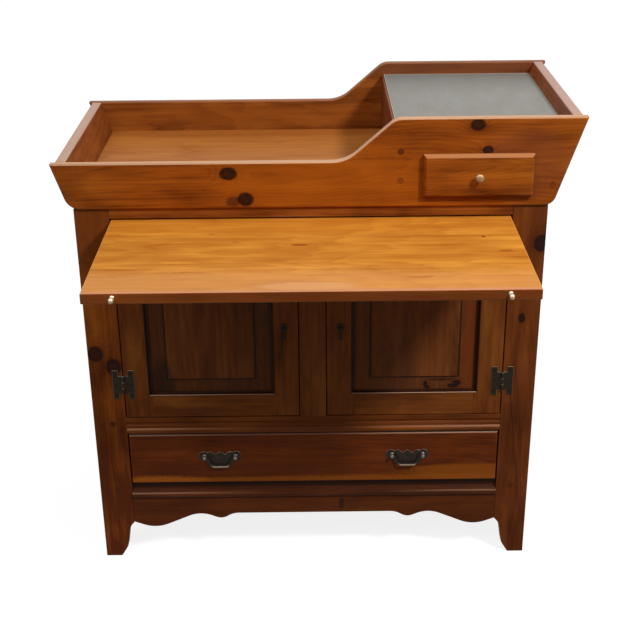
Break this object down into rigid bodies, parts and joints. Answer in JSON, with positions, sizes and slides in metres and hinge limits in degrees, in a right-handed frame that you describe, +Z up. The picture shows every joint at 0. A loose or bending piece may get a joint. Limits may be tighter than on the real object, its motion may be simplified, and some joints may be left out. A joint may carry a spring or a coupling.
{
  "type": "dry sink cabinet",
  "caption": "Dry sink in amber pine: an open tray with leaning ends and a small drawer, over a pull-out shelf, panelled doors and a wide drawer.",
  "frame": {"origin": "on the floor, under the middle of the whole piece's box, from the tray's ends, its back and the shelf's knobs", "axes": "+Z up, +X to the right as seen from the front, +Y to the back; the doors and drawers face -Y"},
  "size_m": [0.9992, 0.833, 0.963],
  "materials": {
    "tray_pine": "satin amber varnish over knotty pine",
    "top_pine": "satin amber varnish over pine, lighter from wear",
    "case_pine": "satin dark amber varnish over pine",
    "inner_pine": "bare to thinly varnished pine",
    "zinc_sheet": "dull grey zinc sheet, matte",
    "bronze": "dark antique bronze patina",
    "brass": "aged brass, satin"
  },
  "bodies": {
    "cabinet": {"front_left_leg": "case_pine", "front_right_leg": "case_pine", "left_side_panel": "case_pine", "right_side_panel": "case_pine", "back_panel": "inner_pine", "top_rail": "case_pine", "shelf_rail": "case_pine", "centre_stile": "case_pine", "mid_rail": "case_pine", "lower_rail": "case_pine", "front_apron": "case_pine", "cabinet_floor": "inner_pine", "inner_shelf": "inner_pine", "inner_shelf_cleats": "inner_pine", "drawer_runners": "inner_pine", "pullout_guides": "inner_pine", "rear_rail": "inner_pine", "sink_floor": "top_pine", "sink_front_board": "tray_pine", "sink_back_board": "tray_pine", "sink_left_end": "tray_pine", "sink_right_end": "tray_pine", "compartment_wall": "tray_pine", "compartment_top": "tray_pine", "work_surface_insert": "zinc_sheet", "small_drawer_guides": "inner_pine", "leg_hinge_leaves": "bronze", "hinge_pins": "bronze", "leg_hinge_screws": "bronze", "door_catches": "inner_pine"},
    "pullout_shelf": {"pullout_shelf": "top_pine", "pullout_knobs": "brass", "pullout_stops": "inner_pine"},
    "left_door": {"left_door_stiles": "case_pine", "left_door_rails": "case_pine", "left_door_panel": "case_pine", "left_door_hinge_leaves": "bronze", "left_door_hinge_screws": "bronze", "left_door_pull_plate": "bronze"},
    "right_door": {"right_door_stiles": "case_pine", "right_door_rails": "case_pine", "right_door_panel": "case_pine", "right_door_hinge_leaves": "bronze", "right_door_hinge_screws": "bronze", "right_door_pull_plate": "bronze"},
    "left_door_drop": {"left_door_drop": "bronze"},
    "right_door_drop": {"right_door_drop": "bronze"},
    "wide_drawer": {"wide_drawer_front": "case_pine", "wide_drawer_sides": "inner_pine", "wide_drawer_back": "inner_pine", "wide_drawer_bottom": "inner_pine", "wide_drawer_pull_plates": "bronze", "wide_drawer_pull_posts": "bronze"},
    "left_bail": {"left_bail": "bronze"},
    "right_bail": {"right_bail": "bronze"},
    "small_drawer": {"small_drawer_front": "tray_pine", "small_drawer_sides": "inner_pine", "small_drawer_back": "inner_pine", "small_drawer_bottom": "inner_pine", "small_drawer_knob": "brass"}
  },
  "joints": [
    {"name": "pullout_slide", "type": "slide", "parent": "cabinet", "child": "pullout_shelf", "axis": [0, 1, 0], "range_m": [0, 0.35]},
    {"name": "left_door_hinge", "type": "hinge", "parent": "cabinet", "child": "left_door", "pos_m": [-0.39582, -0.0525, 0.5355], "axis": [0, 0, -1], "range_deg": [0, 165]},
    {"name": "right_door_hinge", "type": "hinge", "parent": "cabinet", "child": "right_door", "pos_m": [0.36918, -0.0525, 0.5355], "axis": [0, 0, 1], "range_deg": [0, 165]},
    {"name": "left_drop_swing", "type": "hinge", "parent": "left_door", "child": "left_door_drop", "pos_m": [-0.06932, -0.0565, 0.541], "axis": [-1, 0, 0], "range_deg": [0, 85]},
    {"name": "right_drop_swing", "type": "hinge", "parent": "right_door", "child": "right_door_drop", "pos_m": [0.04268, -0.0565, 0.541], "axis": [-1, 0, 0], "range_deg": [0, 85]},
    {"name": "wide_drawer_slide", "type": "slide", "parent": "cabinet", "child": "wide_drawer", "axis": [0, -1, 0], "range_m": [0, 0.3]},
    {"name": "left_bail_swing", "type": "hinge", "parent": "wide_drawer", "child": "left_bail", "pos_m": [-0.20782, -0.0591, 0.2485], "axis": [-1, 0, 0], "range_deg": [0, 90]},
    {"name": "right_bail_swing", "type": "hinge", "parent": "wide_drawer", "child": "right_bail", "pos_m": [0.18118, -0.0591, 0.2485], "axis": [-1, 0, 0], "range_deg": [0, 90]},
    {"name": "small_drawer_slide", "type": "slide", "parent": "cabinet", "child": "small_drawer", "axis": [0, -1, 0], "range_m": [0, 0.25]}
  ]
}
